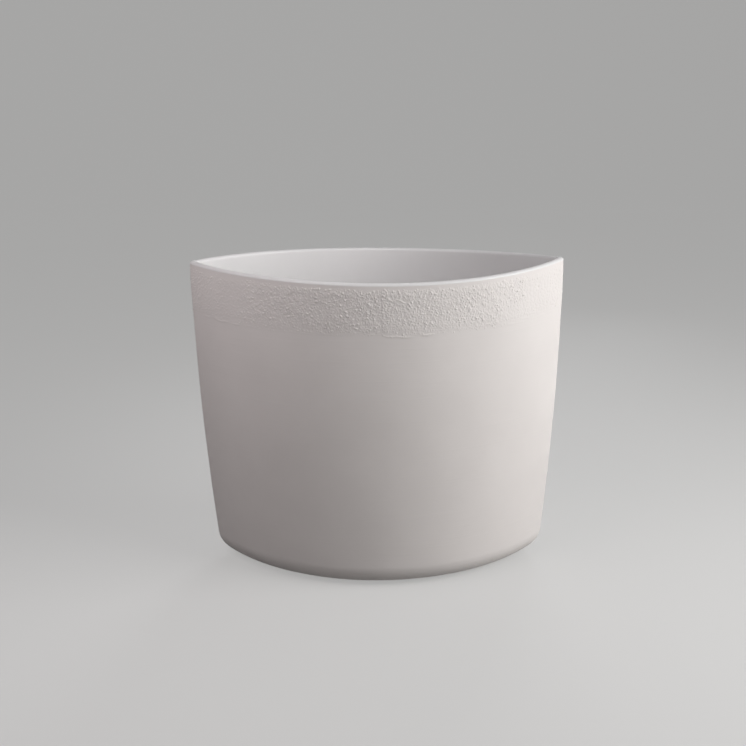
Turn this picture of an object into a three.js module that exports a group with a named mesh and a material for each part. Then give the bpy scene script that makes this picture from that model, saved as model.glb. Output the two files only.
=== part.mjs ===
// Lens-shaped ceramic vase: a cast body, a gloss lining, a matte outer coat and a rough band under the lip.
// Millimetres, +Z up. The standing surface is z = 0, the wide way runs along X, and the front looks along -Y.

import * as THREE from 'three';

// Outside shape
const RIM_WIDTH = 235;          // tip to tip at the lip
const RIM_DEPTH = 125;          // front to back at the lip
const TIP_HEIGHT = 200;         // standing surface to the lip at the two tips
const RIM_DIP = 3;              // how far the lip sinks between the tips
const FOOT_WIDTH = 214;         // tip to tip where the bare walls would meet the standing surface
const TIP_RADIUS = 6;           // rounding of the two upright edges
const FOOT_ROUNDING = 15;       // rounding between the wall and the standing surface

// Body and foot
const WALL = 3.6;               // fired clay between the lining and the coat
const FLOOR = 6;                // fired clay above the recess under the foot
const FOOT_RING_WIDTH = 9;      // flat ring that the vase stands on
const FOOT_RECESS = 2;          // depth of the hollow inside that ring
const INNER_TIP_RADIUS = 1.6;   // rounding of the two upright corners inside
const INNER_FLOOR_RADIUS = 12;  // rounding between the inside wall and the floor

// Fired layers on the body
const LINING = 0.4;             // gloss lining, inside and over the lip
const COAT = 0.4;               // matte coat on the outside
const COAT_FOOT_MARGIN = 2.5;   // bare clay between the standing surface and the coat
const BAND_HEIGHT = 31;         // rough band, down from the lip
const BAND_PROUD = 0.5;         // how far the band stands out of the coat
const BAND_FEATHER = 1.5;       // height over which the band thins out at its lower edge
const FUSE_GAP = 0.05;          // clearance between layers that are fired together

// Number of flat steps that stand for each curve
const ARC_STEPS = 24;           // along the front wall, and along the back wall
const TIP_STEPS = 6;            // around each upright edge
const WALL_STEPS = 5;           // up the wall, outside below the band and inside
const BAND_STEPS = 2;           // up the band
const ROUNDING_STEPS = 5;       // around the foot rounding and the floor rounding
const LIP_STEPS = 6;            // over the lip

// Sizes that follow from the ones above
const wallThickness = COAT + WALL + LINING + 2 * FUSE_GAP;
const lipStart = TIP_HEIGHT - wallThickness / 2;
const bandFoot = lipStart - BAND_HEIGHT;
const floorTop = FOOT_RECESS + FLOOR + FUSE_GAP + LINING;
const bodyUnderCoat = COAT + FUSE_GAP;
const bodyUnderLining = LINING + FUSE_GAP;

// Plan of the vase: two equal arcs, front and back, rounded where they meet at the tips.
// Returns the arc radius and how far the arc centres lie from the middle.
function lensPlan(halfWidth, halfDepth, tipRadius) {
  const tipCentre = halfWidth - tipRadius;
  const arcRadius = (tipCentre ** 2 + halfDepth ** 2 - tipRadius ** 2) / (2 * (halfDepth - tipRadius));
  return { arcRadius, centreOffset: arcRadius - halfDepth };
}

// The walls lean in towards the foot along a shallow arc that is upright at the lip.
function planScale(height) {
  const below = 1 - height / TIP_HEIGHT;
  return 1 - (1 - FOOT_WIDTH / RIM_WIDTH) * below ** 2;
}

// The lip sinks between the tips, and the wall below follows it less and less down to the foot rounding.
function sink(x, height) {
  const rise = Math.max(0, (height - FOOT_ROUNDING) / (TIP_HEIGHT - FOOT_ROUNDING));
  const across = x / (RIM_WIDTH / 2);
  return RIM_DIP * (1 - across ** 2) * rise ** 2;
}

// One closed loop of points around the vase. inset is the distance in from the finished outside.
function ring({ inset, height, tipRadius }) {
  const scale = planScale(height);
  const plan = lensPlan((RIM_WIDTH / 2) * scale, (RIM_DEPTH / 2) * scale, TIP_RADIUS);
  const arcRadius = plan.arcRadius - inset;
  const tipCentre = Math.sqrt((arcRadius - tipRadius) ** 2 - plan.centreOffset ** 2);
  const arcHalfAngle = Math.atan2(tipCentre, plan.centreOffset);
  const points = [];
  const addArc = (centreX, centreY, radius, from, to, steps) => {
    for (let step = 0; step < steps; step += 1) {
      const angle = from + ((to - from) * step) / steps;
      const x = centreX + radius * Math.cos(angle);
      const y = centreY + radius * Math.sin(angle);
      points.push(new THREE.Vector3(x, y, height - sink(x, height)));
    }
  };
  const front = -Math.PI / 2;
  const back = Math.PI / 2;
  addArc(0, plan.centreOffset, arcRadius, front - arcHalfAngle, front + arcHalfAngle, ARC_STEPS);
  addArc(tipCentre, 0, tipRadius, front + arcHalfAngle, back - arcHalfAngle, TIP_STEPS);
  addArc(0, -plan.centreOffset, arcRadius, back - arcHalfAngle, back + arcHalfAngle, ARC_STEPS);
  addArc(-tipCentre, 0, tipRadius, back + arcHalfAngle, back + Math.PI - arcHalfAngle, TIP_STEPS);
  return points;
}

// Evenly spaced values from first to last, both included.
function spread(first, last, steps) {
  return Array.from({ length: steps + 1 }, (_, step) => first + ((last - first) * step) / steps);
}

// Heights at which the outside has a ring: up the foot rounding, the bare wall and the band.
const foot = spread(0, Math.PI / 2, ROUNDING_STEPS).map((turn) => FOOT_ROUNDING * (1 - Math.cos(turn)));
const wall = spread(FOOT_ROUNDING, bandFoot, WALL_STEPS).slice(1);
const band = spread(bandFoot, lipStart, BAND_STEPS).slice(1);

// How far the foot rounding has drawn the outside in at a height.
function footInset(height) {
  const below = Math.max(0, FOOT_ROUNDING - height);
  return FOOT_ROUNDING - Math.sqrt(FOOT_ROUNDING ** 2 - below ** 2);
}

// A point of the outside profile, depth below the finished surface.
function outside(height, depth) {
  return { inset: footInset(height) + depth, height, tipRadius: TIP_RADIUS - depth };
}

// Outside profile at the given heights, from the lowest up.
function outsideProfile(heights, depth) {
  return heights.map((height) => outside(height, depth));
}

// Half-round lip profile from the outside, over the top, to the inside.
function lipProfile(outerDepth, innerDepth) {
  const radius = (wallThickness - outerDepth - innerDepth) / 2;
  return spread(0, Math.PI, LIP_STEPS).map((turn) => {
    const across = (1 - Math.cos(turn)) / 2;
    return {
      inset: outerDepth + 2 * radius * across,
      height: lipStart + radius * Math.sin(turn),
      tipRadius: THREE.MathUtils.lerp(TIP_RADIUS - outerDepth, INNER_TIP_RADIUS + innerDepth, across),
    };
  });
}

// Inside profile below the lip, down the wall and around the floor rounding, depth into the material.
function insideProfile(depth) {
  const roundingTop = floorTop + INNER_FLOOR_RADIUS;
  const straight = spread(lipStart, roundingTop, WALL_STEPS).slice(1);
  const tipRadius = INNER_TIP_RADIUS + depth;
  const down = straight.map((height) => ({ inset: wallThickness - depth, height, tipRadius }));
  const radius = INNER_FLOOR_RADIUS + depth;
  const around = spread(0, Math.PI / 2, ROUNDING_STEPS).slice(1).map((turn) => ({
    inset: wallThickness + INNER_FLOOR_RADIUS - radius * Math.cos(turn),
    height: roundingTop - radius * Math.sin(turn),
    tipRadius,
  }));
  return [...down, ...around];
}

// Joins a profile's rings into one closed surface. An open profile is closed by a flat face at each end.
// Each four-sided patch is split from its lower ring to its upper ring in the direction of the loop,
// so that the facets of two layers stay parallel whichever way their profiles run.
function loft(profile, closed) {
  const rings = profile.map(ring);
  const count = rings[0].length;
  const vertices = rings.flat();
  const triangles = [];
  const pairs = closed ? rings.length : rings.length - 1;
  for (let level = 0; level < pairs; level += 1) {
    const following = (level + 1) % rings.length;
    const rising = profile[following].height >= profile[level].height;
    for (let step = 0; step < count; step += 1) {
      const next = (step + 1) % count;
      const here = [level * count + step, level * count + next];
      const there = [following * count + step, following * count + next];
      if (rising) {
        triangles.push(here[0], here[1], there[1], here[0], there[1], there[0]);
      } else {
        triangles.push(here[0], here[1], there[0], here[1], there[1], there[0]);
      }
    }
  }
  if (!closed) {
    const lastRing = (rings.length - 1) * count;
    const firstCentre = vertices.push(new THREE.Vector3(0, 0, rings[0][0].z)) - 1;
    const lastCentre = vertices.push(new THREE.Vector3(0, 0, rings.at(-1)[0].z)) - 1;
    for (let step = 0; step < count; step += 1) {
      const next = (step + 1) % count;
      triangles.push(firstCentre, next, step);
      triangles.push(lastCentre, lastRing + step, lastRing + next);
    }
  }
  const geometry = new THREE.BufferGeometry();
  geometry.setAttribute('position', new THREE.Float32BufferAttribute(vertices.flatMap((v) => v.toArray()), 3));
  geometry.setIndex(triangles);
  geometry.computeVertexNormals();
  return geometry;
}

// Fired clay: recess and foot ring below, the wall outside, the lip, the wall inside and the floor.
function castBody() {
  const ringInner = FOOT_ROUNDING + FOOT_RING_WIDTH;
  const tipRadius = TIP_RADIUS - bodyUnderCoat;
  const recess = [
    { inset: ringInner, height: FOOT_RECESS, tipRadius },
    { inset: ringInner, height: 0, tipRadius },
  ];
  const underCoat = outsideProfile([...foot, ...wall, ...band].slice(0, -1), bodyUnderCoat);
  const lip = lipProfile(bodyUnderCoat, bodyUnderLining);
  return loft([...recess, ...underCoat, ...lip, ...insideProfile(bodyUnderLining)], false);
}

// Gloss lining: the floor, the inside wall and over the lip down to where the band starts.
function glossLining() {
  const face = [...lipProfile(0, 0), ...insideProfile(0)];
  const underside = [...lipProfile(COAT, LINING), ...insideProfile(LINING)];
  return loft([...underside.reverse(), ...face], false);
}

// Matte coat: the outside from the bare foot up to the rough band.
function matteCoat() {
  const between = [...foot, ...wall.slice(0, -1)].filter((height) => height > COAT_FOOT_MARGIN);
  const levels = [COAT_FOOT_MARGIN, ...between, bandFoot - FUSE_GAP];
  return loft([...outsideProfile(levels, 0), ...outsideProfile(levels, COAT).reverse()], true);
}

// Rough band: a layer of gritty slip that stands out of the coat and thins out at its lower edge.
function roughBand() {
  const levels = [bandFoot, bandFoot + BAND_FEATHER, ...band.slice(0, -1), lipStart - FUSE_GAP];
  const face = levels.map((height, level) => outside(height, level === 0 ? 0 : -BAND_PROUD));
  return loft([...face, ...outsideProfile(levels, COAT).reverse()], true);
}

function piece(name, geometry, color, roughness) {
  const mesh = new THREE.Mesh(geometry, new THREE.MeshStandardMaterial({ color, roughness, metalness: 0 }));
  mesh.name = name;
  return mesh;
}

const vase = new THREE.Group();
vase.name = 'lens_vase';
vase.add(
  piece('cast_body', castBody(), 0xd9cfc2, 0.9),
  piece('gloss_lining', glossLining(), 0xf1efec, 0.12),
  piece('matte_coat', matteCoat(), 0xe9e4e1, 0.7),
  piece('rough_band', roughBand(), 0xebe7e3, 0.8),
);

export default vase;
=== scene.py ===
"""Visual model of a lens-shaped ceramic vase: bare clay foot, gloss lining, matte coat and rough band.

Lengths are in metres in the part's own frame: +Z up, the wide way along X, the front towards -Y.
"""

import logging
import math
from abc import ABC, abstractmethod
from dataclasses import dataclass, field
from enum import Enum
from typing import ClassVar

import bpy
import numpy as np
from mathutils import Matrix, Vector, noise


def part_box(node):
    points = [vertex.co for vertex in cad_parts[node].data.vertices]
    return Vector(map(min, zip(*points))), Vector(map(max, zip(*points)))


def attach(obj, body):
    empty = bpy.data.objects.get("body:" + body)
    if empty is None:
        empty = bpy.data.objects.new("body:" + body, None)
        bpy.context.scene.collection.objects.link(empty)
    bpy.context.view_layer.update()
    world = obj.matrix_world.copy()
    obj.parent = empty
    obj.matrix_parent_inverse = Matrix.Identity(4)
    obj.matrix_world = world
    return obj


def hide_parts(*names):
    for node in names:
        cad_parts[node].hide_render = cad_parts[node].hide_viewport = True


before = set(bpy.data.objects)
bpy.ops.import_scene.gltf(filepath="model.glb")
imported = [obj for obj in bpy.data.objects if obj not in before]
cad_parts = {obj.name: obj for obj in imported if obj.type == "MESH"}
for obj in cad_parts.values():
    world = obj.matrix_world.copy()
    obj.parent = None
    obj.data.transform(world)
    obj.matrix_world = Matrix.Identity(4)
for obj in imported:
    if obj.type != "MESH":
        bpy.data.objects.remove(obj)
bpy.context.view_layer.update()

LOG = logging.getLogger("vase")
BODY = "root"
GRIT_ATTRIBUTE = "grit"
NOISE_RANGE = (0.3, 0.7)  # where most values of a noise mask lie

Color = tuple[float, float, float, float]
Triple = tuple[float, float, float]
Span = tuple[float, float]
Place = tuple[float, float]
Socket = bpy.types.NodeSocket
Source = Socket | float | tuple[float, ...]


class Node(Enum):
    """CAD nodes of the vase, one for each fired layer."""

    BODY = "cast_body"
    LINING = "gloss_lining"
    COAT = "matte_coat"
    BAND = "rough_band"


class Slot(Enum):
    """Material slots of the part's record."""

    CLAY = "fired_clay"
    GLOSS = "gloss_glaze"
    MATTE = "matte_glaze"
    GRIT = "grit_slip"


def linked(name: str, data: bpy.types.ID) -> bpy.types.Object:
    """Makes an object and links it to the scene.

    Args:
        name: its name.
        data: its mesh, lamp or camera.

    Returns:
        The object.
    """
    made = bpy.data.objects.new(name, data)
    bpy.context.scene.collection.objects.link(made)
    return made


def smooth_step(value: np.ndarray) -> np.ndarray:
    """Eases from 0 to 1 as the value goes from 0 to 1."""
    share = np.clip(value, 0.0, 1.0)
    return share * share * (3 - 2 * share)


@dataclass(frozen=True)
class Waviness:
    """Smooth unevenness of a surface.

    The length is the distance over which it changes, and the shift moves to another part of the pattern.
    The stretch is a factor on each axis, and below 1 it draws the pattern out along that axis.
    """

    strength: float
    length: float
    shift: float = 0.0
    stretch: Triple = (1.0, 1.0, 1.0)

    def at(self, points: np.ndarray) -> np.ndarray:
        """Works out the unevenness at some points.

        Args:
            points: places, with the axes last.

        Returns:
            One value for each point, between about -strength and strength.
        """
        places = (points * np.array(self.stretch)).reshape(-1, 3) / self.length + self.shift
        pattern = np.array([noise.noise(place) for place in places.tolist()])
        return self.strength * pattern.reshape(points.shape[:-1])


def uneven(points: np.ndarray, kinds: tuple[Waviness, ...], base: float = 0.0) -> np.ndarray:
    """Adds up unevenness of several sizes around a base value."""
    return sum((kind.at(points) for kind in kinds), start=base)


@dataclass(frozen=True)
class Columns:
    """Places around the plan at which a surface has a column of points.

    The plan has four stretches: the front arc, the right tip, the back arc and the left tip.
    """

    on_tip: np.ndarray
    middle: np.ndarray
    share: np.ndarray

    @classmethod
    def spread(cls, front: int, tip: int, back: int) -> "Columns":
        """Spaces columns evenly along each stretch.

        Args:
            front: columns along the front arc.
            tip: columns around each upright edge.
            back: columns along the back arc.

        Returns:
            The columns, from the left end of the front arc towards the right.
        """
        counts = (front, tip, back, tip)
        turns = (-math.pi / 2, 0.0, math.pi / 2, math.pi)
        return cls(
            on_tip=np.concatenate([np.full(n, i % 2 == 1) for i, n in enumerate(counts)]),
            middle=np.concatenate([np.full(n, turn) for n, turn in zip(counts, turns)]),
            share=np.concatenate([np.arange(n) / n for n in counts]),
        )


@dataclass(frozen=True)
class Profile:
    """Upright outline of a surface: one row of values for each ring, one column or one per place around."""

    inset: np.ndarray
    height: np.ndarray
    tip_radius: np.ndarray

    @classmethod
    def of(cls, inset: np.ndarray, height: np.ndarray, tip_radius: np.ndarray | float) -> "Profile":
        """Shapes the values into rows that broadcast around the vase.

        Args:
            inset: distance in from the finished outside, for each ring.
            height: height of each ring.
            tip_radius: rounding of the two upright edges, for each ring or one for all.

        Returns:
            The outline.
        """
        inset, height, tip_radius = np.broadcast_arrays(inset, height, tip_radius)
        rows = [a if a.ndim == 2 else a[:, None] for a in (inset, height, tip_radius)]
        return cls(*rows)

    def reversed(self) -> "Profile":
        """The same outline run the other way."""
        return Profile(self.inset[::-1], self.height[::-1], self.tip_radius[::-1])

    @staticmethod
    def joined(*profiles: "Profile") -> "Profile":
        """Makes one outline that runs through several in turn.

        Args:
            profiles: the outlines, in order.

        Returns:
            The joined outline.
        """
        width = max(p.inset.shape[1] for p in profiles)
        rows = [
            np.concatenate([np.broadcast_to(getattr(p, name), (len(p.inset), width)) for p in profiles])
            for name in ("inset", "height", "tip_radius")
        ]
        return Profile(*rows)


@dataclass(frozen=True)
class VaseForm:
    """Shape that all the layers of the vase share."""

    rim_width: float
    rim_depth: float
    tip_height: float = 0.200
    rim_dip: float = 0.0033
    rim_skew: float = 0.0018
    foot_width: float = 0.214
    tip_radius: float = 0.006
    foot_rounding: float = 0.015
    foot_ring_width: float = 0.009
    foot_recess: float = 0.002
    wall: float = 0.0045
    lip_height: float = 0.0016
    inner_tip_radius: float = 0.0016
    floor_top: float = 0.00845
    inner_floor_radius: float = 0.012
    lining: float = 0.0004
    coat: float = 0.0004
    band_height: float = 0.031
    wobble: Waviness = Waviness(0.00012, 0.045)

    @property
    def lip_start(self) -> float:
        """Height where the outside turns into the rounded lip."""
        return self.tip_height - self.lip_height

    @property
    def band_foot(self) -> float:
        """Height of the rough band's lower edge."""
        return self.lip_start - self.band_height

    def foot_inset(self, height: np.ndarray) -> np.ndarray:
        """How far the foot rounding has drawn the outside in at a height."""
        below = np.clip(self.foot_rounding - height, 0.0, self.foot_rounding)
        return self.foot_rounding - np.sqrt(self.foot_rounding**2 - below**2)

    def outside(self, height: np.ndarray, depth: np.ndarray | float) -> Profile:
        """Outline of the outside, a depth below the finished surface, with one ring for each height."""
        return Profile.of(self.foot_inset(height) + depth, height, self.tip_radius - np.asarray(depth))

    def lip(self, outer_depth: float, inner_depth: float, steps: int) -> Profile:
        """Half-oval outline of the lip, from the outside over the top to the inside.

        Args:
            outer_depth: depth below the finished outside.
            inner_depth: depth below the finished inside.
            steps: flat steps over the top.

        Returns:
            The outline.
        """
        radius = (self.wall - outer_depth - inner_depth) / 2
        rise = self.lip_height - (outer_depth + inner_depth) / 2
        turn = np.linspace(0.0, math.pi, steps + 1)
        across = (1 - np.cos(turn)) / 2
        outer, inner = self.tip_radius - outer_depth, self.inner_tip_radius + inner_depth
        return Profile.of(
            outer_depth + 2 * radius * across,
            self.lip_start + rise * np.sin(turn),
            outer + (inner - outer) * across,
        )

    def inside(self, depth: float, wall_steps: int, round_steps: int) -> Profile:
        """Outline of the inside below the lip, down the wall and around to the floor.

        Args:
            depth: depth below the finished inside.
            wall_steps: flat steps down the wall.
            round_steps: flat steps around to the floor.

        Returns:
            The outline.
        """
        rounding_top = self.floor_top + self.inner_floor_radius
        wall_height = np.linspace(self.lip_start, rounding_top, wall_steps + 1)[1:]
        turn = np.linspace(0.0, math.pi / 2, round_steps + 1)[1:]
        radius = self.inner_floor_radius + depth
        inset = np.concatenate([
            np.full(wall_steps, self.wall - depth),
            self.wall + self.inner_floor_radius - radius * np.cos(turn),
        ])
        height = np.concatenate([wall_height, rounding_top - radius * np.sin(turn)])
        return Profile.of(inset, height, self.inner_tip_radius + depth)

    def surface(self, profile: Profile, columns: Columns) -> tuple[np.ndarray, np.ndarray]:
        """Sweeps an outline around the plan.

        Args:
            profile: the upright outline.
            columns: the places around the plan.

        Returns:
            Points, and level directions that point out of the vase, both by ring, column and axis.
        """
        scale = 1 - (1 - self.foot_width / self.rim_width) * (1 - profile.height / self.tip_height) ** 2
        half_width, half_depth = self.rim_width / 2 * scale, self.rim_depth / 2 * scale
        tip = self.tip_radius
        outer = ((half_width - tip) ** 2 + half_depth**2 - tip**2) / (2 * (half_depth - tip))
        offset = outer - half_depth
        radius = outer - profile.inset
        tip_centre = np.sqrt((radius - profile.tip_radius) ** 2 - offset**2)
        half_angle = np.arctan2(tip_centre, offset)
        swing = np.where(columns.on_tip, math.pi / 2 - half_angle, half_angle)
        angle = columns.middle + swing * (2 * columns.share - 1)
        reach = np.where(columns.on_tip, profile.tip_radius, radius)
        outward = np.stack([np.cos(angle), np.sin(angle), np.zeros_like(angle)], axis=-1)
        x = np.where(columns.on_tip, tip_centre * np.cos(columns.middle), 0.0) + reach * outward[..., 0]
        y = np.where(columns.on_tip, 0.0, -offset * np.sin(columns.middle)) + reach * outward[..., 1]
        z = profile.height - self.sink(x, profile.height)
        points = np.stack([x, y, z], axis=-1)
        rise = np.clip(z / self.foot_rounding, 0.0, 1.0)
        sway = rise * self.wobble.at(points)
        return points + sway[..., None] * outward, outward

    def sink(self, x: np.ndarray, height: np.ndarray) -> np.ndarray:
        """How far the wall sinks between the tips, most at the lip, a little right of its middle.

        Args:
            x: places across the vase.
            height: heights before the sinking.

        Returns:
            One depth for each place.
        """
        rise = np.clip((height - self.foot_rounding) / (self.tip_height - self.foot_rounding), 0.0, None)
        across = 2 * x / self.rim_width
        return (self.rim_dip + self.rim_skew * across) * (1 - across**2) * rise**2


@dataclass
class SweptMesh:
    """Closed mesh made of rings of points around the vase."""

    name: str
    rings: np.ndarray
    closed: bool
    floor_rings: int = 4
    sharp_angle: float = math.radians(50)

    def build(self) -> bpy.types.Object:
        """Joins the rings with four-sided faces, and closes the ends of an open outline with flat floors.

        Returns:
            The object, linked to the scene.
        """
        rings = self.rings
        if not self.closed:
            rings = np.concatenate([self._floor(rings[0])[::-1], rings, self._floor(rings[-1])])
        count, width = rings.shape[:2]
        faces = self._bands(count, width)
        points = rings.reshape(-1, 3).tolist()
        if not self.closed:
            faces += self._fans(count, width, len(points))
            points += [rings[0].mean(axis=0).tolist(), rings[-1].mean(axis=0).tolist()]
        mesh = bpy.data.meshes.new(self.name)
        mesh.from_pydata(points, [], faces)
        mesh.validate()
        mesh.shade_smooth()
        mesh.set_sharp_from_angle(angle=self.sharp_angle)
        return linked(self.name, mesh)

    def _floor(self, edge: np.ndarray) -> np.ndarray:
        """Makes rings that shrink from an edge towards its middle.

        Args:
            edge: ring of points around the floor.

        Returns:
            The rings, without the edge itself.
        """
        shares = np.linspace(1.0, 0.0, self.floor_rings + 2)[1:-1, None, None]
        middle = edge.mean(axis=0)
        return middle + (edge - middle) * shares

    def _bands(self, count: int, width: int) -> list[tuple[int, ...]]:
        """Makes four-sided faces between each ring and the next.

        Args:
            count: number of rings.
            width: points in a ring.

        Returns:
            The faces, as indices of points.
        """
        pairs = count if self.closed else count - 1
        faces = []
        for level in range(pairs):
            here, there = level * width, (level + 1) % count * width
            for column in range(width):
                beside = (column + 1) % width
                faces.append((here + column, here + beside, there + beside, there + column))
        return faces

    @staticmethod
    def _fans(count: int, width: int, first_middle: int) -> list[tuple[int, ...]]:
        """Makes three-sided faces from the first and the last ring to their middles.

        Args:
            count: number of rings.
            width: points in a ring.
            first_middle: index of the first ring's middle, which the last ring's middle follows.

        Returns:
            The faces, as indices of points.
        """
        last = (count - 1) * width
        faces = []
        for column in range(width):
            beside = (column + 1) % width
            faces.append((first_middle, beside, column))
            faces.append((first_middle + 1, last + column, last + beside))
        return faces


class Layer(ABC):
    """One fired layer of the vase, which stands for a CAD node and belongs to a material slot of the part's
    record.
    """

    node: ClassVar[Node]
    slot: ClassVar[Slot]

    @abstractmethod
    def build(self) -> bpy.types.Object:
        """Builds the layer's mesh in the part's frame."""

    def dress(self, finish: bpy.types.Material) -> bpy.types.Object:
        """Builds the layer in its finish and puts it in the place of its CAD node.

        Args:
            finish: material that covers the layer.

        Returns:
            The finished piece.
        """
        piece = self.build()
        piece.data.materials.append(finish)
        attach(piece, BODY)
        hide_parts(self.node.value)
        return piece


@dataclass
class ClayBody(Layer):
    """Fired clay under the layers: only its foot, with a ring to stand on and a shallow recess, shows."""

    node: ClassVar[Node] = Node.BODY
    slot: ClassVar[Slot] = Slot.CLAY

    form: VaseForm
    columns: Columns = field(default_factory=lambda: Columns.spread(front=150, tip=12, back=150))
    edge_rounding: float = 0.0007
    edge_steps: int = 5
    foot_steps: int = 16
    wall_steps: int = 39
    lip_steps: int = 10
    inside_steps: int = 30
    floor_steps: int = 10
    gap: float = 0.00005

    def foot(self) -> Profile:
        """Makes the outline under the foot.

        Returns:
            The outline, from the recess across the ring to the outer rounding.
        """
        form, radius = self.form, self.edge_rounding
        turn = np.linspace(0.0, math.pi / 2, self.edge_steps + 1)
        ring_inner = form.foot_rounding + form.foot_ring_width
        cove_inset = ring_inner + radius * (1 - np.sin(turn))
        cove_height = form.foot_recess - radius * (1 - np.cos(turn))
        edge_inset = ring_inner - radius * (1 - np.cos(turn))
        edge_height = radius * (1 - np.sin(turn))
        tip_radius = form.tip_radius - form.coat - self.gap
        return Profile.joined(
            Profile.of(cove_inset, cove_height, tip_radius),
            Profile.of(edge_inset, edge_height, tip_radius),
        )

    def build(self) -> bpy.types.Object:
        """Builds the closed body, with a little clearance under each layer.

        Returns:
            The body.
        """
        form = self.form
        turn = np.linspace(0.0, math.pi / 2, self.foot_steps + 1)
        rounding = form.foot_rounding * (1 - np.cos(turn))
        wall = np.linspace(form.foot_rounding, form.lip_start, self.wall_steps + 1)[1:-1]
        under_coat, under_lining = form.coat + self.gap, form.lining + self.gap
        outline = Profile.joined(
            self.foot(),
            form.outside(np.concatenate([rounding, wall]), under_coat),
            form.lip(under_coat, under_lining, self.lip_steps),
            form.inside(under_lining, self.inside_steps, self.floor_steps),
        )
        points, _ = form.surface(outline, self.columns)
        return SweptMesh("clay_body", points, closed=False).build()


@dataclass
class GlossLining(Layer):
    """Gloss glaze inside, poured over the floor and the wall and rolled over the lip, with slight runs."""

    node: ClassVar[Node] = Node.LINING
    slot: ClassVar[Slot] = Slot.GLOSS

    form: VaseForm
    columns: Columns = field(default_factory=lambda: Columns.spread(front=200, tip=16, back=200))
    lip_steps: int = 24
    wall_steps: int = 110
    floor_steps: int = 18
    under_lip_steps: int = 10
    under_wall_steps: int = 24
    under_floor_steps: int = 8
    runs: Waviness = Waviness(0.000025, 0.009, stretch=(1.0, 1.0, 0.3))

    def build(self) -> bpy.types.Object:
        """Builds the closed lining: its underside first, then the face that shows.

        Returns:
            The lining.
        """
        form = self.form
        face = Profile.joined(
            form.lip(0.0, 0.0, self.lip_steps),
            form.inside(0.0, self.wall_steps, self.floor_steps),
        )
        underside = Profile.joined(
            form.lip(form.coat, form.lining, self.under_lip_steps),
            form.inside(form.lining, self.under_wall_steps, self.under_floor_steps),
        )
        face_points, outward = form.surface(face, self.columns)
        face_points = face_points - outward * self.runs.at(face_points)[..., None]
        under_points, _ = form.surface(underside.reversed(), self.columns)
        points = np.concatenate([under_points, face_points])
        return SweptMesh("gloss_lining_glaze", points, closed=False).build()


@dataclass
class MatteCoat(Layer):
    """Matte glaze on the outside, from a wavy edge above the bare foot up to the rough band.

    Wiping left faint level lines in it, which come and go around the vase.
    """

    node: ClassVar[Node] = Node.COAT
    slot: ClassVar[Slot] = Slot.MATTE

    form: VaseForm
    columns: Columns = field(default_factory=lambda: Columns.spread(front=200, tip=14, back=200))
    rows: int = 180
    under_rows: int = 20
    crowding: float = 1.15
    foot_margin: float = 0.0025
    edge_wave: Waviness = Waviness(0.0006, 0.014)
    edge_taper: float = 0.0012
    lines: Waviness = Waviness(0.00002, 0.0021, stretch=(0.06, 0.06, 1.0))

    def build(self) -> bpy.types.Object:
        """Builds the closed coat, with its rows a little closer near the foot.

        Returns:
            The coat.
        """
        form = self.form
        share = np.linspace(0.0, 1.0, self.rows)[:, None] ** self.crowding
        level, _ = form.surface(form.outside(np.array([self.foot_margin]), 0.0), self.columns)
        foot = self.foot_margin + self.edge_wave.at(level[0])
        height = foot + (form.band_foot - foot) * share
        bare = np.clip(1 - (height - foot) / self.edge_taper, 0.0, 1.0)
        thin = form.coat * (1 - np.sqrt(1 - bare**2))
        face_points, outward = form.surface(form.outside(height, thin), self.columns)
        face_points = face_points + outward * self.lines.at(face_points)[..., None]
        under = form.outside(height[:: self.rows // self.under_rows], form.coat)
        under_points, _ = form.surface(under.reversed(), self.columns)
        points = np.concatenate([face_points, under_points])
        return SweptMesh("matte_coat_glaze", points, closed=True).build()


@dataclass
class Relief:
    """Height of the slip, raised grain by grain.

    It covers a grid of places, around the vase and down from the lip. A ridge is a row of grains, one step
    apart, and the link is the length of such a grain for its width.
    """

    along: np.ndarray
    down: np.ndarray
    loop: float
    step: float = 0.0004
    link: float = 1.25
    roundness: float = 0.8
    height: np.ndarray = field(init=False)

    def __post_init__(self) -> None:
        """Starts from a flat field."""
        self.height = np.zeros((len(self.down), len(self.along)))

    def away(self, place: float) -> np.ndarray:
        """Distance of each column from a place, the shorter way round."""
        return (self.along - place + self.loop / 2) % self.loop - self.loop / 2

    def grain(self, at: Place, length: float, width: float, turn: float, rise: float) -> None:
        """Raises one oval grain.

        Args:
            at: place of its middle, around the vase and down from the lip.
            length: half of its long side.
            width: half of its short side.
            turn: angle of the long side from the level.
            rise: height of its top.
        """
        beside, below = self.away(at[0]), self.down - at[1]
        columns = np.flatnonzero(np.abs(beside) < length)
        rows = np.flatnonzero(np.abs(below) < length)
        beside, below = beside[columns], below[rows][:, None]
        over = beside * math.cos(turn) + below * math.sin(turn)
        across = below * math.cos(turn) - beside * math.sin(turn)
        dome = np.clip(1 - (over / length) ** 2 - (across / width) ** 2, 0.0, 1.0) ** self.roundness
        window = np.ix_(rows, columns)
        self.height[window] = np.maximum(self.height[window], rise * dome)

    def ridge(self, at: Place, turns: np.ndarray, width: float, rise: float) -> None:
        """Raises a crooked ridge, one grain after another.

        Args:
            at: place where it starts, around the vase and down from the lip.
            turns: direction of each step, as an angle from the level.
            width: half of its width.
            rise: height of its crest.
        """
        around, down = at
        for turn in turns:
            self.grain((around, down), width * self.link, width, turn, rise)
            around += self.step * math.cos(turn)
            down += self.step * math.sin(turn)


@dataclass(frozen=True)
class Grit:
    """One kind of grain: how many are strewn, and ranges of their half-width and shape.

    The stretch is the length for each width. The rise is the height for each half-width, up to the steepest.
    """

    tries: int
    size: Span
    rise: Span
    stretch: Span = (1.0, 1.3)
    steepest: float = 1.15


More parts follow.
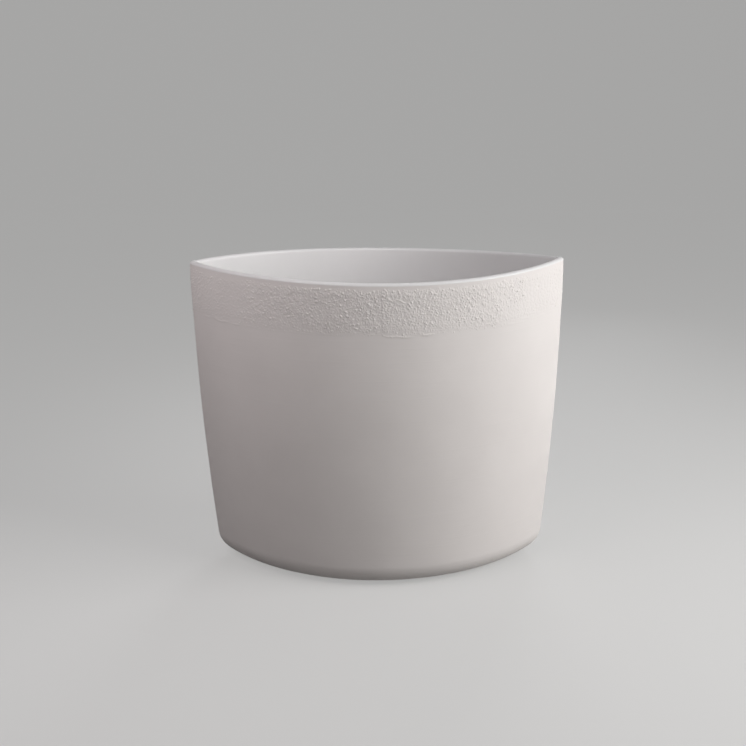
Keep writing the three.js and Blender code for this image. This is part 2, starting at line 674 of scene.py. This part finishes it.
@dataclass(frozen=True)
class Streaks:
    """One kind of crooked ridge: how many are drawn, which way they run, and ranges of their shape."""

    tries: int
    turn: float
    turn_spread: float
    bend: float
    grains: tuple[int, int]
    width: Span
    rise: Span

    def turns(self, random: np.random.Generator) -> np.ndarray:
        """Draws the direction of each step of one ridge.

        Args:
            random: source of the draws.

        Returns:
            Angles from the level.
        """
        first = random.normal(self.turn, self.turn_spread)
        bends = random.normal(0.0, self.bend, random.integers(*self.grains))
        return first + np.cumsum(bends)


@dataclass(frozen=True)
class Spot:
    """Place of a grain, around the vase and down from the lip, with its row and column of the grid."""

    at: Place
    row: int
    column: int


@dataclass(frozen=True)
class RoughPatch:
    """Stretch of the band where grains stick, along the wall from the middle of the front.

    The share is the part of the grains that stick, the lift is a factor on their height, and the depth is
    how far the patch reaches down from the lip.
    """

    middle: float
    half_length: float
    share: float
    lift: float = 1.0
    depth: float = 0.040
    fade: float = 0.012

    def reach(self, away: np.ndarray, down: np.ndarray, ragged: np.ndarray) -> np.ndarray:
        """How fully the patch covers each place.

        Args:
            away: distance of each column from the patch's middle.
            down: distance of each row from the lip.
            ragged: distance by which the patch's outline is moved out.

        Returns:
            One share for each place.
        """
        inside = self.half_length - np.abs(away) + ragged
        above = self.depth - down + ragged / 2
        return smooth_step(inside / self.fade + 0.5) * smooth_step(above / self.fade + 0.5)


@dataclass(frozen=True)
class Ledge:
    """Stretch of the lower edge, along the wall, where the slip ends in a thin step."""

    first: float
    last: float
    rise: float
    onset: float = 0.003
    ending: float = 0.006

    def height(self, along: np.ndarray) -> np.ndarray:
        """Height of the step at places along the wall."""
        start = smooth_step((along - self.first) / self.onset)
        return self.rise * start * smooth_step((self.last - along) / self.ending)


@dataclass(frozen=True)
class Scar:
    """Crooked ridge that a tool left in the slip: its start, and its legs as angle in degrees and length."""

    start: Place
    legs: tuple[tuple[float, float], ...]
    rise: float = 0.00022
    width: float = 0.00046


@dataclass
class RoughBand(Layer):
    """Gritty slip under the lip: patches of sand and crumbs, thinning out at a dragged lower edge.

    Places along the wall are measured from the middle of the front towards the right, and places down it
    from the lip.
    """

    node: ClassVar[Node] = Node.BAND
    slot: ClassVar[Slot] = Slot.GRIT

    form: VaseForm

    # Mesh and draws
    front_columns: int = 900
    tip_columns: int = 17
    back_columns: int = 500
    row_spacing: float = 0.00033
    sharp_angle: float = math.radians(80)
    seed: int = 23

    # Layer of slip and its edges
    slip: float = 0.00008
    stipple: Waviness = Waviness(0.00013, 0.0011)
    overlap: float = 0.0020
    tuck: float = 0.00008
    bare_strip: float = 0.0016
    top_feather: float = 0.004
    foot_feather: float = 0.008
    edge_waves: tuple[Waviness, ...] = (
        Waviness(0.0011, 0.028),
        Waviness(0.0006, 0.0065),
        Waviness(0.0003, 0.002),
    )

    # Where grains stick, and how high they stand
    plain_share: float = 0.16
    plain_lift: float = 0.6
    patches: tuple[RoughPatch, ...] = (
        RoughPatch(0.014, 0.046, 1.0, lift=0.85, fade=0.016),
        RoughPatch(0.066, 0.016, 1.0, lift=1.15),
        RoughPatch(0.086, 0.014, 0.95, lift=1.4, depth=0.020),
        RoughPatch(-0.014, 0.020, 1.0, lift=1.15),
        RoughPatch(-0.052, 0.034, 0.85, lift=1.35),
        RoughPatch(-0.050, 0.006, 1.1, lift=2.3, depth=0.018, fade=0.008),
        RoughPatch(-0.238, 0.046, 0.9, lift=1.5),
        RoughPatch(0.205, 0.038, 0.7, lift=1.5),
        RoughPatch(-0.150, 0.024, 0.5),
    )
    patch_waves: tuple[Waviness, ...] = (Waviness(0.008, 0.014), Waviness(0.005, 0.005))
    clump_waves: tuple[Waviness, ...] = (Waviness(0.8, 0.008, shift=5.0), Waviness(0.8, 0.003, shift=9.0))
    clump_mean: float = 0.95
    clump_range: Span = (0.2, 1.3)
    ragged_top: float = 0.0009
    ragged_foot: float = 0.0036
    least_grit: float = 0.3

    # Grains, ridges and wiped lines
    lumps: Grit = Grit(500, (0.0009, 0.0020), (0.03, 0.07))
    dust: Grit = Grit(40000, (0.00018, 0.00026), (0.34, 0.72))
    sand: Grit = Grit(22000, (0.00026, 0.00044), (0.32, 0.74))
    crumbs: Grit = Grit(3200, (0.00034, 0.00062), (0.55, 1.00))
    ridges: Streaks = Streaks(tries=500, turn=math.pi / 2, turn_spread=0.6, bend=0.4, grains=(2, 6),
                              width=(0.00032, 0.00046), rise=(0.00010, 0.00026))
    wipes: Streaks = Streaks(tries=200, turn=0.0, turn_spread=0.06, bend=0.02, grains=(10, 40),
                             width=(0.00036, 0.00046), rise=(0.00002, 0.00008))
    wipe_reach: float = 0.0060

    # Single marks: the lapped seam, steps of the lower edge, tool marks and a pit
    seam: float = 0.0032
    seam_wave: Waviness = Waviness(0.0006, 0.004)
    seam_rise: float = 0.00012
    lap_edge: float = 0.0005
    lap_fade: float = 0.030
    ledges: tuple[Ledge, ...] = (Ledge(0.004, 0.036, 0.00022), Ledge(-0.124, -0.084, 0.00018))
    ledge_wave: Waviness = Waviness(1.2, 0.007)
    ledge_mean: float = 0.6
    bead_width: float = 0.0006
    bead_offset: float = 0.8
    scars: tuple[Scar, ...] = (
        Scar((0.0048, 0.0017), ((52.0, 0.0022), (83.0, 0.0048), (28.0, 0.0032))),
        Scar((0.0130, 0.0082), ((32.0, 0.0042),)),
    )
    pit: Place = (0.109, 0.0110)
    pit_size: float = 0.0007
    pit_depth: float = 0.00040

    def build(self) -> bpy.types.Object:
        """Builds the closed band, and keeps its share of grit in the mesh for the finish.

        Returns:
            The band.
        """
        form = self.form
        columns = Columns.spread(self.front_columns, self.tip_columns, self.back_columns)
        height = np.arange(form.lip_start, form.band_foot - self.overlap, -self.row_spacing)
        points, outward = form.surface(form.outside(height, 0.0), columns)
        relief, grit = self._relief(points, form.lip_start - height)
        tuck = self.tuck * np.clip((form.band_foot - height) / self.overlap, 0.0, 1.0)
        face = points + outward * (relief - tuck[:, None])[..., None]
        under, _ = form.surface(form.outside(height[[0, -1]], form.coat), columns)
        rings = np.concatenate([face[::-1], under])
        made = SweptMesh("rough_band_slip", rings, closed=True, sharp_angle=self.sharp_angle).build()
        attribute = made.data.attributes.new(GRIT_ATTRIBUTE, "FLOAT", "POINT")
        values = np.concatenate([grit[::-1], np.zeros(under.shape[:2])])
        attribute.data.foreach_set("value", values.astype(np.float32).ravel())
        return made

    def _relief(self, places: np.ndarray, down: np.ndarray) -> tuple[np.ndarray, np.ndarray]:
        """Height of the slip, and how gritty it is.

        Args:
            places: points of the bare surface, from the lip down.
            down: distance of each ring from the lip.

        Returns:
            One height and one share of grit for each point.
        """
        random = np.random.default_rng(self.seed)
        gaps = np.linalg.norm(np.diff(places[0], axis=0, append=places[0][:1]), axis=1)
        along = np.cumsum(gaps) - gaps[0] - gaps[: self.front_columns].sum() / 2
        coarse, fine, hollow = (Relief(along, down, gaps.sum()) for _ in range(3))
        edge = self.form.band_height + uneven(places[0], self.edge_waves)
        share, lift = self._patchwork(places, coarse)
        for slip, grit in ((coarse, self.lumps), (fine, self.dust), (fine, self.sand), (fine, self.crumbs)):
            self._strew(slip, grit, self._scatter(grit.tries, share, edge, slip, random), lift, random)
        self._streak(fine, self._scatter(self.ridges.tries, share, edge, fine, random), lift, random)
        self._wipe(fine, edge, random)
        self._scar(fine)
        hollow.grain(self.pit, self.pit_size, self.pit_size, 0.0, self.pit_depth)
        cover = self._cover(down, edge)
        height = coarse.height + fine.height + self._layer(places, along, down, edge, cover) - hollow.height
        return height, cover * (self.least_grit + (1 - self.least_grit) * share)

    def _patchwork(self, places: np.ndarray, grid: Relief) -> tuple[np.ndarray, np.ndarray]:
        """Spreads the patches over the band, and breaks them up into clumps.

        Args:
            places: points of the bare surface.
            grid: the places of the columns and rows.

        Returns:
            Share of the strewn grains that stick at each point, and the factor on their height.
        """
        share = np.full(places.shape[:2], self.plain_share)
        lift = np.full(places.shape[:2], self.plain_lift)
        ragged = uneven(places, self.patch_waves)
        for patch in self.patches:
            reach = patch.reach(grid.away(patch.middle), grid.down[:, None], ragged)
            share = np.maximum(share, patch.share * reach)
            lift = np.maximum(lift, patch.lift * reach)
        clumps = uneven(places, self.clump_waves, self.clump_mean)
        return share * np.clip(clumps, *self.clump_range), lift

    def _scatter(self, tries: int, share: np.ndarray, edge: np.ndarray, grid: Relief,
                 random: np.random.Generator) -> list[Spot]:
        """Strews places over the band, between the bare strip under the lip and the lower edge.

        Args:
            tries: number of places that are tried.
            share: share that sticks at each point.
            edge: distance of the lower edge from the lip, by column.
            grid: the places of the columns and rows.
            random: source of the draws.

        Returns:
            The places that were kept.
        """
        around = grid.along[0] + random.uniform(0.0, grid.loop, tries)
        down = random.uniform(0.0, grid.down[-1], tries)
        column = np.searchsorted(grid.along, around) - 1
        row = np.searchsorted(grid.down, down) - 1
        top = self.bare_strip + np.abs(random.normal(0.0, self.ragged_top, tries))
        low = edge[column] - np.abs(random.normal(0.0, self.ragged_foot, tries))
        kept = np.flatnonzero((down > top) & (down < low) & (random.random(tries) < share[row, column]))
        return [Spot((around[i], down[i]), row[i], column[i]) for i in kept]

    @staticmethod
    def _strew(slip: Relief, grit: Grit, spots: list[Spot], lift: np.ndarray,
               random: np.random.Generator) -> None:
        """Raises one grain at each spot, more small ones than large ones.

        Args:
            slip: the relief that the grains are part of.
            grit: the kind of grain.
            spots: their places.
            lift: factor on the height at each point.
            random: source of the draws.
        """
        small, large = grit.size
        for spot in spots:
            size = small + (large - small) * random.random() ** 2
            rise = size * min(random.uniform(*grit.rise) * lift[spot.row, spot.column], grit.steepest)
            length = size * random.uniform(*grit.stretch)
            slip.grain(spot.at, length, size, random.uniform(0.0, math.pi), rise)

    def _streak(self, slip: Relief, spots: list[Spot], lift: np.ndarray,
                random: np.random.Generator) -> None:
        """Draws short crooked ridges among the grains, most of them upright.

        Args:
            slip: the relief that the ridges are part of.
            spots: places where they start.
            lift: factor on the height at each point.
            random: source of the draws.
        """
        for spot in spots:
            turns = self.ridges.turns(random)
            rise = random.uniform(*self.ridges.rise) * lift[spot.row, spot.column]
            slip.ridge(spot.at, turns, random.uniform(*self.ridges.width), rise)

    def _wipe(self, slip: Relief, edge: np.ndarray, random: np.random.Generator) -> None:
        """Draws thin level lines along the lower edge, where the slip was wiped around.

        Args:
            slip: the relief that the lines are part of.
            edge: distance of the lower edge from the lip, by column.
            random: source of the draws.
        """
        for column in random.integers(0, len(edge), self.wipes.tries):
            at = (slip.along[column], edge[column] - random.uniform(0.0, self.wipe_reach))
            turns = self.wipes.turns(random)
            slip.ridge(at, turns, random.uniform(*self.wipes.width), random.uniform(*self.wipes.rise))

    def _scar(self, slip: Relief) -> None:
        """Draws the crooked tool marks beside the seam.

        Args:
            slip: the relief that the marks are part of.
        """
        for scar in self.scars:
            turns = [np.full(int(length / slip.step), math.radians(angle)) for angle, length in scar.legs]
            slip.ridge(scar.start, np.concatenate(turns), scar.width, scar.rise)

    def _cover(self, down: np.ndarray, edge: np.ndarray) -> np.ndarray:
        """Share of the full layer at each point, feathered under the lip and at the lower edge."""
        top = smooth_step((down[:, None] - self.bare_strip) / self.top_feather)
        return top * smooth_step((edge - down[:, None]) / self.foot_feather)

    def _layer(self, places: np.ndarray, along: np.ndarray, down: np.ndarray, edge: np.ndarray,
               cover: np.ndarray) -> np.ndarray:
        """Thickness of the slip between its grains: lapped at the seam, and stepped along the ledges.

        Args:
            places: points of the bare surface.
            along: place of each column along the wall.
            down: distance of each ring from the lip.
            edge: distance of the lower edge from the lip, by column.
            cover: share of the full layer at each point.

        Returns:
            One thickness for each point.
        """
        past = along - (self.seam + self.seam_wave.at(places))
        lap = smooth_step(past / self.lap_edge + 0.5) * np.exp(-np.clip(past, 0.0, None) / self.lap_fade)
        step = sum(ledge.height(along) for ledge in self.ledges)
        step = step * np.clip(self.ledge_mean + self.ledge_wave.at(places[0]), 0.0, 1.0)
        bead = step * np.exp(-(((edge - down[:, None]) / self.bead_width - self.bead_offset) ** 2))
        slip = self.slip + self.seam_rise * lap + self.stipple.at(places)
        return np.clip(cover * slip + bead, 0.0, None)


class Effect(Enum):
    """Shader effects that several finishes share."""

    MOTTLE = "glaze mottle"
    GRAIN = "fine grain"
    LINES = "level lines"


class Wiring:
    """Nodes of a material, a group or the world, with the steps of adding to them."""

    def __init__(self, tree: bpy.types.NodeTree) -> None:
        """Takes up a tree of nodes."""
        self.tree = tree

    def feed(self, socket: Socket, source: Source) -> None:
        """Links a socket to another node's output, or sets it to a plain value.

        Args:
            socket: the socket.
            source: the output or the value.
        """
        if isinstance(source, Socket):
            self.tree.links.new(source, socket)
        else:
            socket.default_value = source

    def add(self, kind: str, sources: dict[str | int, Source], **settings: object) -> bpy.types.Node:
        """Adds a node.

        Args:
            kind: its type in Blender.
            sources: what feeds its sockets, by their names or numbers.
            settings: its other settings, made first because some of them decide on its sockets.

        Returns:
            The node.
        """
        node = self.tree.nodes.new(kind)
        for name, value in settings.items():
            setattr(node, name, value)
        for key, source in sources.items():
            self.feed(node.inputs[key], source)
        return node

    def blend(self, share: Socket, first: Source, second: Source) -> Socket:
        """Mixes two colours by a mask, from the first at 0 to the second at 1."""
        node = self.add("ShaderNodeMix", {"Factor": share, "A": first, "B": second}, data_type="RGBA")
        return node.outputs["Result"]

    def larger(self, first: Source, second: Source) -> Socket:
        """Gives the larger of two values."""
        return self.add("ShaderNodeMath", {0: first, 1: second}, operation="MAXIMUM").outputs["Value"]

    def product(self, first: Source, second: Source) -> Socket:
        """Multiplies two values."""
        return self.add("ShaderNodeMath", {0: first, 1: second}, operation="MULTIPLY").outputs["Value"]

    def sum(self, first: Source, second: Source, weight: float) -> Socket:
        """Adds a second value, times a weight, to the first."""
        node = self.add("ShaderNodeMath", {0: second, 1: weight, 2: first}, operation="MULTIPLY_ADD")
        return node.outputs["Value"]

    def shown(self) -> Socket:
        """Tells the rays that show a surface from those that carry diffuse light.

        Returns:
            A mask that is 1 for the rays of the camera, of gloss and of glass.
        """
        path = self.add("ShaderNodeLightPath", {})
        mask = self.larger(path.outputs["Is Camera Ray"], path.outputs["Is Glossy Ray"])
        return self.larger(mask, path.outputs["Is Transmission Ray"])


class Effects:
    """Node groups of the shared effects, each built once."""

    def __init__(self) -> None:
        """Builds every group."""
        self.groups = {
            Effect.MOTTLE: self._noise_group(Effect.MOTTLE, (1.0, 1.0, 1.0), detail=3.0, rough=0.55),
            Effect.GRAIN: self._noise_group(Effect.GRAIN, (1.0, 1.0, 1.0), detail=2.0, rough=0.6),
            Effect.LINES: self._noise_group(Effect.LINES, (0.03, 0.03, 1.0), detail=2.0, rough=0.5),
        }

    @staticmethod
    def _noise_group(effect: Effect, stretch: Triple, detail: float, rough: float) -> bpy.types.NodeTree:
        """Makes a group that turns a place on the surface into a mask.

        Args:
            effect: the effect, which names the group.
            stretch: factor on each axis of the place.
            detail: octaves of the noise.
            rough: strength of the finer octaves.

        Returns:
            The group, with inputs Place and Scale and output Mask.
        """
        group = bpy.data.node_groups.new(effect.value, "ShaderNodeTree")
        group.interface.new_socket("Place", in_out="INPUT", socket_type="NodeSocketVector")
        group.interface.new_socket("Scale", in_out="INPUT", socket_type="NodeSocketFloat")
        group.interface.new_socket("Mask", in_out="OUTPUT", socket_type="NodeSocketFloat")
        wiring = Wiring(group)
        given = wiring.add("NodeGroupInput", {}).outputs
        squeeze = wiring.add("ShaderNodeVectorMath", {0: given["Place"], 1: stretch}, operation="MULTIPLY")
        pattern = wiring.add("ShaderNodeTexNoise", {
            "Vector": squeeze.outputs["Vector"],
            "Scale": given["Scale"],
            "Detail": detail,
            "Roughness": rough,
        })
        wiring.add("NodeGroupOutput", {"Mask": pattern.outputs["Fac"]})
        return group


class MaterialTree(Wiring):
    """Nodes of a new material around its Principled shader."""

    def __init__(self, name: str, effects: Effects) -> None:
        """Starts the material with its shader and the place on the surface.

        Args:
            name: name of the material.
            effects: the shared effects.
        """
        self.material = bpy.data.materials.new(name)
        self.material.use_nodes = True
        super().__init__(self.material.node_tree)
        self.effects = effects
        self.shader = self.tree.nodes["Principled BSDF"]
        self.place = self.add("ShaderNodeTexCoord", {}).outputs["Object"]

    def mask(self, effect: Effect, scale: float) -> Socket:
        """Mask of a shared effect that has about a scale of features in a metre."""
        sources = {"Place": self.place, "Scale": scale}
        return self.add("ShaderNodeGroup", sources, node_tree=self.effects.groups[effect]).outputs["Mask"]

    def ramp(self, value: Socket, source: Span, result: Span = (0.0, 1.0)) -> Socket:
        """Maps a value from one range to another, and holds it there."""
        sources = dict(enumerate((value, *source, *result)))
        return self.add("ShaderNodeMapRange", sources).outputs["Result"]

    def give(self, socket: str, source: Source) -> None:
        """Feeds a socket of the shader."""
        self.feed(self.shader.inputs[socket], source)

    def bump(self, height: Socket, depth: float, strength: float) -> None:
        """Tilts the surface by a height mask, which rises by the depth where it is 1."""
        sources = {"Height": height, "Distance": depth, "Strength": strength}
        self.give("Normal", self.add("ShaderNodeBump", sources).outputs["Normal"])


class Finish(ABC):
    """Look of one kind of surface."""

    name: ClassVar[str]

    @abstractmethod
    def paint(self, tree: MaterialTree) -> None:
        """Wires up a new material's shader."""

    def material(self, effects: Effects) -> bpy.types.Material:
        """Builds the material.

        Args:
            effects: the shared effects.

        Returns:
            The material.
        """
        tree = MaterialTree(self.name, effects)
        self.paint(tree)
        return tree.material


@dataclass(frozen=True)
class GlazeFinish(Finish):
    """White glaze with a cloudy tone and sheen, and faint level lines."""

    light: Color
    shade: Color
    cloud_scale: float
    roughness: Span
    specular: float
    line_scale: float
    bump_depth: float
    bump_strength: float

    def paint(self, tree: MaterialTree) -> None:
        """Gives the shader its clouds, its sheen and its relief.

        Args:
            tree: the new material.
        """
        mottle = tree.mask(Effect.MOTTLE, self.cloud_scale)
        tree.give("Base Color", tree.blend(tree.ramp(mottle, NOISE_RANGE), self.shade, self.light))
        tree.give("Roughness", tree.ramp(mottle, NOISE_RANGE, self.roughness))
        tree.give("Specular IOR Level", self.specular)
        tree.bump(self.relief(tree), self.bump_depth, self.bump_strength)

    def relief(self, tree: MaterialTree) -> Socket:
        """Height of the level lines."""
        return tree.mask(Effect.LINES, self.line_scale)


@dataclass(frozen=True)
class GlossFinish(GlazeFinish):
    """Smooth white gloss glaze."""

    name: ClassVar[str] = "gloss white glaze"
    light: Color = (0.808, 0.799, 0.797, 1.0)
    shade: Color = (0.792, 0.784, 0.782, 1.0)
    cloud_scale: float = 35.0
    roughness: Span = (0.34, 0.40)
    specular: float = 0.40
    line_scale: float = 260.0
    bump_depth: float = 0.00002
    bump_strength: float = 0.4


@dataclass(frozen=True)
class MatteFinish(GlazeFinish):
    """Silky matte white glaze, with grain and a few lines that wiping left."""

    name: ClassVar[str] = "matte white glaze"
    light: Color = (0.815, 0.778, 0.757, 1.0)
    shade: Color = (0.780, 0.743, 0.723, 1.0)
    cloud_scale: float = 24.0
    roughness: Span = (0.58, 0.72)
    specular: float = 0.35
    line_scale: float = 520.0
    line_edge: Span = (0.56, 0.70)
    grain_scale: float = 2400.0
    grain_share: float = 0.4
    bump_depth: float = 0.00004
    bump_strength: float = 0.6

    def relief(self, tree: MaterialTree) -> Socket:
        """Height of the strongest lines, with the grain of the glaze."""
        lines = tree.ramp(super().relief(tree), self.line_edge)
        return tree.sum(lines, tree.mask(Effect.GRAIN, self.grain_scale), self.grain_share)


@dataclass(frozen=True)
class GritFinish(MatteFinish):
    """The same white over gritty slip, with fine sand where the slip is rough."""

    name: ClassVar[str] = "gritty white slip"
    sand_scale: float = 1500.0
    sand_depth: float = 0.00030

    def relief(self, tree: MaterialTree) -> Socket:
        """Adds fine sand to the lines and the grain.

        Args:
            tree: the new material, which reads the share of sand from the mesh.

        Returns:
            The height.
        """
        share = tree.add("ShaderNodeAttribute", {}, attribute_name=GRIT_ATTRIBUTE).outputs["Fac"]
        sand = tree.product(tree.mask(Effect.GRAIN, self.sand_scale), share)
        return tree.sum(super().relief(tree), sand, self.sand_depth / self.bump_depth)


@dataclass(frozen=True)
class ClayFinish(Finish):
    """Bare fired clay with fine grains and dark specks."""

    name: ClassVar[str] = "bare fired clay"
    light: Color = (0.700, 0.630, 0.545, 1.0)
    shade: Color = (0.590, 0.515, 0.430, 1.0)
    speck: Color = (0.240, 0.185, 0.140, 1.0)
    cloud_scale: float = 60.0
    grain_scale: float = 1500.0
    speck_scale: float = 520.0
    speck_edge: Span = (0.10, 0.16)
    speck_share: float = 0.55
    roughness: Span = (0.82, 0.95)
    bump_depth: float = 0.00015
    bump_strength: float = 0.8

    def paint(self, tree: MaterialTree) -> None:
        """Gives the shader its clouds, its specks and its grain.

        Args:
            tree: the new material.
        """
        mottle = tree.mask(Effect.MOTTLE, self.cloud_scale)
        grain = tree.mask(Effect.GRAIN, self.grain_scale)
        cells = tree.add("ShaderNodeTexVoronoi", {"Vector": tree.place, "Scale": self.speck_scale})
        clay = tree.blend(tree.ramp(mottle, NOISE_RANGE), self.shade, self.light)
        speck = tree.ramp(cells.outputs["Distance"], self.speck_edge, (self.speck_share, 0.0))
        tree.give("Base Color", tree.blend(speck, clay, self.speck))
        tree.give("Roughness", tree.ramp(grain, NOISE_RANGE, self.roughness))
        tree.bump(grain, self.bump_depth, self.bump_strength)


@dataclass(frozen=True)
class StudioFinish(Finish):
    """Pale paper of the floor and backdrop, which looks paler than the light that it throws on the vase."""

    name: ClassVar[str] = "pale studio paper"
    seen: Color = (0.28, 0.278, 0.275, 1.0)
    thrown: Color = (0.34, 0.338, 0.335, 1.0)
    glow: Color = (0.37, 0.368, 0.364, 1.0)
    dark: Color = (0.0, 0.0, 0.0, 1.0)
    cloud_scale: float = 3.0
    roughness: Span = (0.85, 0.95)
    specular: float = 0.1

    def paint(self, tree: MaterialTree) -> None:
        """Gives the shader one look for the rays that show the paper, and another for those of light.

        Args:
            tree: the new material.
        """
        mottle = tree.mask(Effect.MOTTLE, self.cloud_scale)
        shown = tree.shown()
        tree.give("Base Color", tree.blend(shown, self.thrown, self.seen))
        tree.give("Emission Color", tree.blend(shown, self.dark, self.glow))
        tree.give("Emission Strength", 1.0)
        tree.give("Roughness", tree.ramp(mottle, NOISE_RANGE, self.roughness))
        tree.give("Specular IOR Level", self.specular)


@dataclass(frozen=True)
class Softbox:
    """One square studio lamp, turned to the middle of the vase.

    The azimuth is 0 in front of the vase and grows towards its right. All angles are in degrees. The level
    is the light that a white surface facing the lamp throws back, and a grid may narrow the lamp's spread.
    """

    name: str
    azimuth: float
    elevation: float
    distance: float
    size: float
    level: float
    color: Triple
    glossy: bool = True
    spread: float = 180.0
    target: Triple = (0.0, 0.0, 0.12)

    @property
    def focus(self) -> float:
        """How many times the grid brightens the light along the lamp's axis, for the same power."""
        half = math.radians(self.spread) / 2
        return math.tan(half) / (math.tan(half) - half)

    def build(self) -> bpy.types.Object:
        """Hangs the lamp and turns it to its target.

        Returns:
            The lamp, linked to the scene.
        """
        data = bpy.data.lights.new(self.name, "AREA")
        data.size = self.size
        data.spread = math.radians(self.spread)
        data.energy = self.level * (math.pi * self.distance) ** 2 / self.focus
        data.color = self.color
        turn, climb = math.radians(self.azimuth), math.radians(self.elevation)
        away = Vector((math.sin(turn) * math.cos(climb), -math.cos(turn) * math.cos(climb), math.sin(climb)))
        lamp = linked(self.name, data)
        lamp.location = Vector(self.target) + self.distance * away
        lamp.rotation_euler = away.to_track_quat("Z", "Y").to_euler()
        lamp.visible_camera = False
        lamp.visible_glossy = self.glossy
        return lamp


@dataclass
class Studio:
    """Floor, backdrop, lamps and camera around the vase."""

    camera_place: Triple = (0.0033, -0.6833, 0.3254)
    camera_heading: float = math.radians(0.53)
    camera_tilt: float = math.radians(16.33)
    camera_roll: float = math.radians(0.685)
    camera_lens: float = 53.0
    floor_reach: float = 3.0
    backdrop_distance: float = 1.6
    backdrop_rounding: float = 0.9
    rounding_steps: int = 24
    world_light: Color = (0.0144, 0.0147, 0.0150, 1.0)
    world_seen: Color = (0.383, 0.381, 0.377, 1.0)
    lamps: tuple[Softbox, ...] = (
        Softbox("key_lamp", 70, 23, 0.70, 0.45, 0.905, (1.0, 0.990, 0.983)),
        Softbox("fill_lamp", -25, 40, 0.40, 0.3, 0.130, (1.0, 1.0, 0.99)),
        Softbox("side_lamp", -55, 40, 0.40, 0.3, 0.300, (1.0, 0.915, 0.94)),
        Softbox("top_lamp", 180, 76, 0.60, 0.4, 0.070, (0.89, 0.945, 1.0)),
        Softbox("back_lamp", 165, 12, 0.90, 0.4, 0.820, (0.97, 0.98, 1.0), glossy=False, spread=56.0),
    )

    def build(self, paper: bpy.types.Material) -> None:
        """Sets up everything that isn't part of the vase.

        Args:
            paper: material of the floor and backdrop.
        """
        self._sweep(paper)
        self._world()
        for lamp in self.lamps:
            lamp.build()
        self._camera()

    def _sweep(self, paper: bpy.types.Material) -> None:
        """Builds the floor that curves up into the backdrop.

        Args:
            paper: its material.
        """
        turn = np.linspace(0.0, math.pi / 2, self.rounding_steps + 1)
        radius, start = self.backdrop_rounding, self.backdrop_distance
        along = np.concatenate([[-self.floor_reach], start + radius * np.sin(turn), [start + radius]])
        up = np.concatenate([[0.0], radius * (1 - np.cos(turn)), [self.floor_reach]])
        points = [(side * self.floor_reach, y, z) for y, z in zip(along, up) for side in (-1, 1)]
        faces = [(2 * i, 2 * i + 1, 2 * i + 3, 2 * i + 2) for i in range(len(along) - 1)]
        mesh = bpy.data.meshes.new("studio_sweep")
        mesh.from_pydata(points, [], faces)
        mesh.shade_smooth()
        mesh.materials.append(paper)
        sweep = linked("studio_sweep", mesh)

    def _world(self) -> None:
        """Lights the room faintly from all round, and shows it as pale as the backdrop."""
        world = bpy.data.worlds.new("studio_air")
        world.use_nodes = True
        wiring = Wiring(world.node_tree)
        air = wiring.blend(wiring.shown(), self.world_light, self.world_seen)
        wiring.feed(wiring.tree.nodes["Background"].inputs["Color"], air)
        bpy.context.scene.world = world

    def _camera(self) -> None:
        """Sets the camera at the photograph's viewing angle."""
        data = bpy.data.cameras.new("camera")
        data.lens = self.camera_lens
        camera = linked("camera", data)
        heading = Matrix.Rotation(self.camera_heading, 4, "Z")
        tilt = Matrix.Rotation(math.pi / 2 - self.camera_tilt, 4, "X")
        roll = Matrix.Rotation(-self.camera_roll, 4, "Z")
        camera.matrix_world = Matrix.Translation(self.camera_place) @ heading @ tilt @ roll
        bpy.context.scene.camera = camera


def main() -> None:
    """Builds the vase layer by layer, then the studio around it."""
    logging.basicConfig(level=logging.INFO, format="%(name)s: %(message)s")
    bpy.context.scene.view_settings.view_transform = "Standard"
    low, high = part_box(Node.LINING.value)
    form = VaseForm(rim_width=high.x - low.x, rim_depth=high.y - low.y)
    effects = Effects()
    layers = (
        (ClayBody(form), ClayFinish()),
        (GlossLining(form), GlossFinish()),
        (MatteCoat(form), MatteFinish()),
        (RoughBand(form), GritFinish()),
    )
    for layer, finish in layers:
        piece = layer.dress(finish.material(effects))
        LOG.info("%s stands for %s, %d faces", piece.name, layer.node.value, len(piece.data.polygons))
    Studio().build(StudioFinish().material(effects))


if __name__ == "__main__":
    main()
